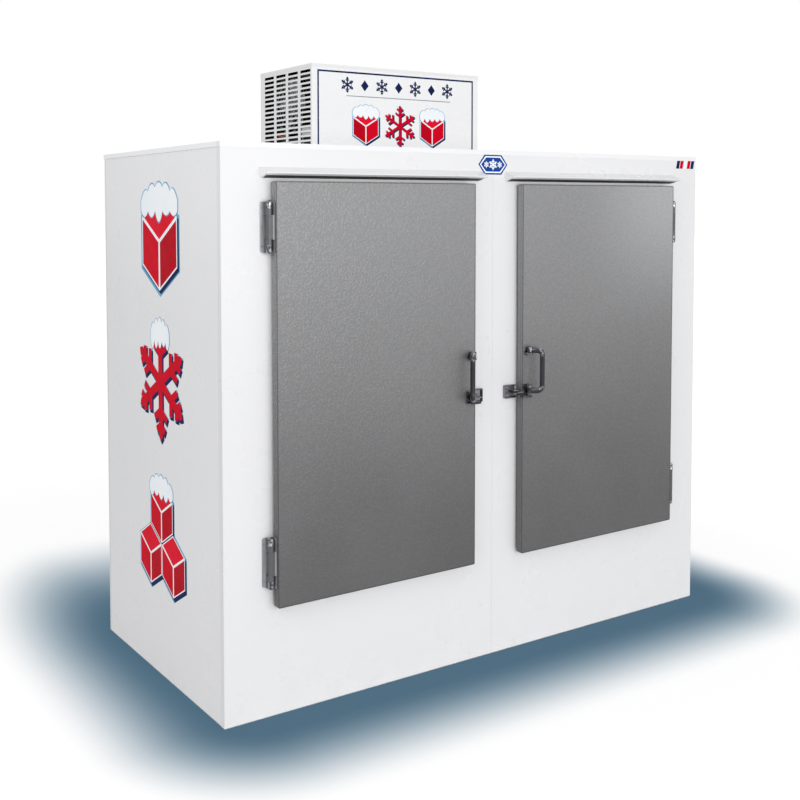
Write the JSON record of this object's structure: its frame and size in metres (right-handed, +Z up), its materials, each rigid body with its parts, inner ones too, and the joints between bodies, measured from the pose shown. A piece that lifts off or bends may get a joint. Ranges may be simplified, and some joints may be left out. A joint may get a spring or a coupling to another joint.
{
  "type": "ice merchandiser freezer",
  "caption": "Outdoor ice merchandiser freezer: white sheet-metal cabinet with hinged insulated doors, lever latches, rain hoods and a condensing unit on top",
  "frame": {"origin": "on the floor, under the middle of the cabinet's underside", "axes": "+X to the right as seen from the front, +Y to the back, +Z up; the doors face -Y"},
  "size_m": [2.388, 1.2042, 2.388],
  "materials": {
    "white_sheet": "glossy white enamel on galvanised sheet",
    "foam": "pale yellow closed-cell foam",
    "liner": "off-white semi-gloss",
    "sign_sheet": "white enamel with a printed navy band and motifs",
    "zinc_sheet": "dull galvanised grey",
    "aluminium_sheet": "mill finish",
    "rack_aluminium": "satin extruded bars",
    "stucco_sheet": "grey coating over stucco-embossed sheet",
    "black_rubber": "soft matte black",
    "hinge_metal": "satin zinc-plated",
    "pin_steel": "brushed",
    "dark_chrome": "dark worn chrome plating",
    "black_enamel": "semi-gloss black enamel",
    "coil_fins": "fine bright fins between end plates",
    "fan_aluminium": "satin",
    "copper_tube": "slightly tarnished copper tube",
    "black_plastic": "matte moulded"
  },
  "bodies": {
    "cabinet": {"base_pan": "zinc_sheet", "left_side_panel": "white_sheet", "right_side_panel": "white_sheet", "back_panel": "white_sheet", "front_panel_left": "white_sheet", "front_panel_right": "white_sheet", "top_cap": "white_sheet", "insulation_left": "foam", "insulation_right": "foam", "insulation_back": "foam", "insulation_floor": "foam", "insulation_ceiling": "foam", "insulation_header": "foam", "insulation_sill": "foam", "insulation_jamb_left": "foam", "insulation_jamb_right": "foam", "insulation_mullion": "foam", "inner_liner": "liner", "doorway_trims": "liner", "floor_racks": "rack_aluminium", "rain_hood_left": "white_sheet", "rain_hood_right": "white_sheet", "hinge_wall_leaves_left": "hinge_metal", "hinge_wall_leaves_right": "hinge_metal", "hinge_pins_left": "pin_steel", "hinge_pins_right": "pin_steel", "latch_strikes": "dark_chrome", "unit_base": "zinc_sheet", "unit_cover": "white_sheet", "unit_grille_left": "white_sheet", "unit_grille_right": "white_sheet", "sign_panel": "sign_sheet", "compressor": "black_enamel", "condenser_coil": "coil_fins", "fan_shroud": "black_enamel", "fan_motor": "black_enamel", "refrigerant_lines": "copper_tube", "control_box": "zinc_sheet", "evaporator_housing": "aluminium_sheet", "evaporator_coil": "coil_fins", "evaporator_fan_motor": "black_enamel"},
    "door_left": {"door_skin_left": "stucco_sheet", "door_insulation_left": "foam", "door_inner_panel_left": "liner", "door_gasket_left": "black_rubber", "hinge_door_leaves_left": "hinge_metal", "latch_body_left": "dark_chrome", "handle_bracket_left": "dark_chrome"},
    "door_right": {"door_skin_right": "stucco_sheet", "door_insulation_right": "foam", "door_inner_panel_right": "liner", "door_gasket_right": "black_rubber", "hinge_door_leaves_right": "hinge_metal", "latch_body_right": "dark_chrome", "handle_bracket_right": "dark_chrome"},
    "handle_left": {"door_handle_left": "dark_chrome"},
    "handle_right": {"door_handle_right": "dark_chrome"},
    "condenser_rotor": {"condenser_fan": "fan_aluminium"},
    "evaporator_rotor": {"evaporator_fan": "fan_aluminium"},
    "thermostat_dial": {"thermostat_knob": "black_plastic"}
  },
  "joints": [
    {"name": "door_left_hinge", "type": "hinge", "parent": "cabinet", "child": "door_left", "pos_m": [-1.02, -0.556, 1.135], "axis": [0, 0, -1], "range_deg": [0, 110]},
    {"name": "door_right_hinge", "type": "hinge", "parent": "cabinet", "child": "door_right", "pos_m": [1.02, -0.556, 1.135], "axis": [0, 0, 1], "range_deg": [0, 110]},
    {"name": "handle_left_pivot", "type": "hinge", "parent": "door_left", "child": "handle_left", "pos_m": [-0.146, -0.591, 1.137], "axis": [0, 0, 1], "range_deg": [0, 25], "stiffness_Nm_per_rad": 1, "springref_deg": -8.59},
    {"name": "handle_right_pivot", "type": "hinge", "parent": "door_right", "child": "handle_right", "pos_m": [0.146, -0.591, 1.137], "axis": [0, 0, -1], "range_deg": [0, 25], "stiffness_Nm_per_rad": 1, "springref_deg": -8.59},
    {"name": "condenser_fan_axle", "type": "hinge", "parent": "cabinet", "child": "condenser_rotor", "pos_m": [-0.404, 0.3005, 2.222], "axis": [1, 0, 0], "continuous": true},
    {"name": "evaporator_fan_axle", "type": "hinge", "parent": "cabinet", "child": "evaporator_rotor", "pos_m": [0, 0.1255, 1.813], "axis": [0, 1, 0], "continuous": true},
    {"name": "thermostat_shaft", "type": "hinge", "parent": "cabinet", "child": "thermostat_dial", "pos_m": [0.2745, 0.1895, 2.15], "axis": [1, 0, 0], "range_deg": [0, 270]}
  ]
}
